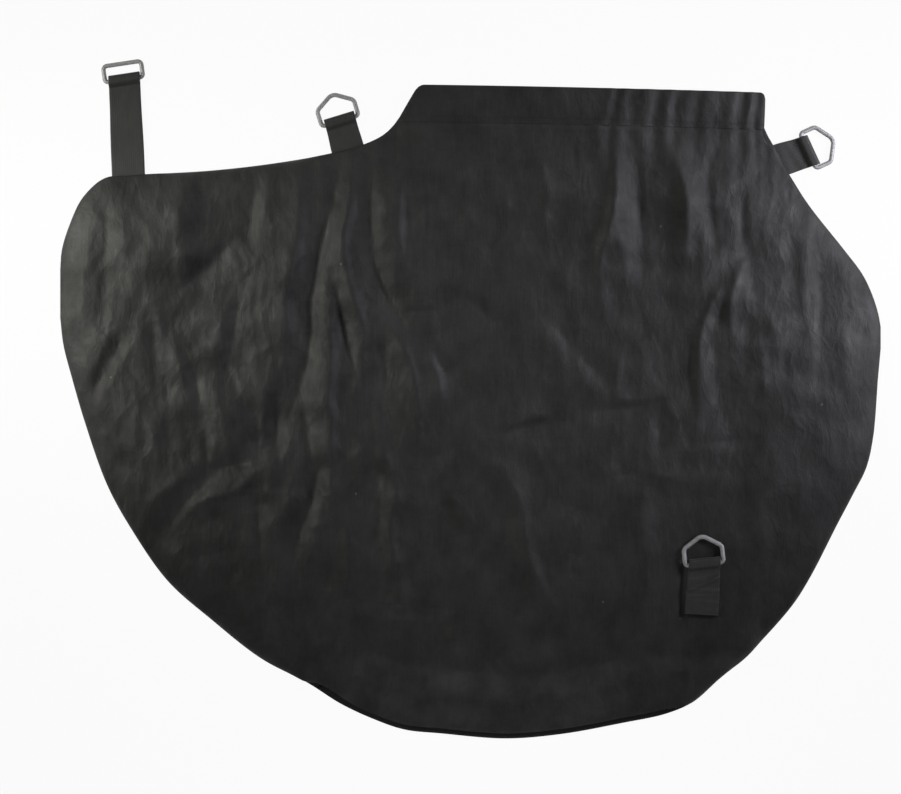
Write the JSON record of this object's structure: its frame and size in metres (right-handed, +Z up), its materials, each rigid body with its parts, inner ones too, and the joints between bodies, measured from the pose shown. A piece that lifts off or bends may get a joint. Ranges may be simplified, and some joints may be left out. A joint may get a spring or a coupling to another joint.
{
  "type": "leaf vacuum collection bag",
  "caption": "Flat empty cloth bag with a gathered elastic mouth, a zipped lower edge and webbing loops that carry metal rings.",
  "frame": {"origin": "on the surface that the bag lies on, under the middle of the whole bag's box", "axes": "+X to the right across the bag, +Y from the zipped lower edge towards the mouth, +Z up from the surface"},
  "size_m": [0.7456, 0.6172, 0.0282],
  "materials": {
    "nylon": "dark woven nylon with a soft sheen",
    "webbing": "ribbed black webbing",
    "elastic": "knitted elastic",
    "ring_steel": "dull grey plated wire",
    "zip_cloth": "woven zip tape",
    "zip_coil": "moulded coil teeth",
    "zip_metal": "dark lacquered die casting"
  },
  "bodies": {
    "bag": {"front_panel": "nylon", "back_panel": "nylon", "front_hem": "nylon", "back_hem": "nylon", "front_elastic": "elastic", "back_elastic": "elastic", "long_strap": "webbing", "neck_strap": "webbing", "side_strap": "webbing", "front_strap": "webbing", "zip_tape_lower": "zip_cloth", "zip_tape_upper": "zip_cloth", "zip_chain": "zip_coil", "zip_slider": "zip_metal", "zip_pull": "zip_metal"},
    "long_ring_body": {"long_ring": "ring_steel"},
    "neck_ring_body": {"neck_ring": "ring_steel"},
    "side_ring_body": {"side_ring": "ring_steel"},
    "front_ring_body": {"front_ring": "ring_steel"}
  },
  "joints": [
    {"name": "long_ring_hinge", "type": "hinge", "parent": "bag", "child": "long_ring_body", "pos_m": [-0.31444, 0.28994, 0.0036], "axis": [0.989, 0.1478, 0], "range_deg": [0, 160]},
    {"name": "neck_ring_hinge", "type": "hinge", "parent": "bag", "child": "neck_ring_body", "pos_m": [-0.11824, 0.25233, 0.0036], "axis": [0.9563, 0.2924, 0], "range_deg": [0, 160]},
    {"name": "side_ring_hinge", "type": "hinge", "parent": "bag", "child": "side_ring_body", "pos_m": [0.30652, 0.22504, 0.0036], "axis": [0.4179, -0.9085, 0], "range_deg": [0, 160]},
    {"name": "front_ring_hinge", "type": "hinge", "parent": "bag", "child": "front_ring_body", "pos_m": [0.21132, -0.14907, 0.0213], "axis": [0.9952, 0.0976, 0], "range_deg": [0, 160]}
  ]
}
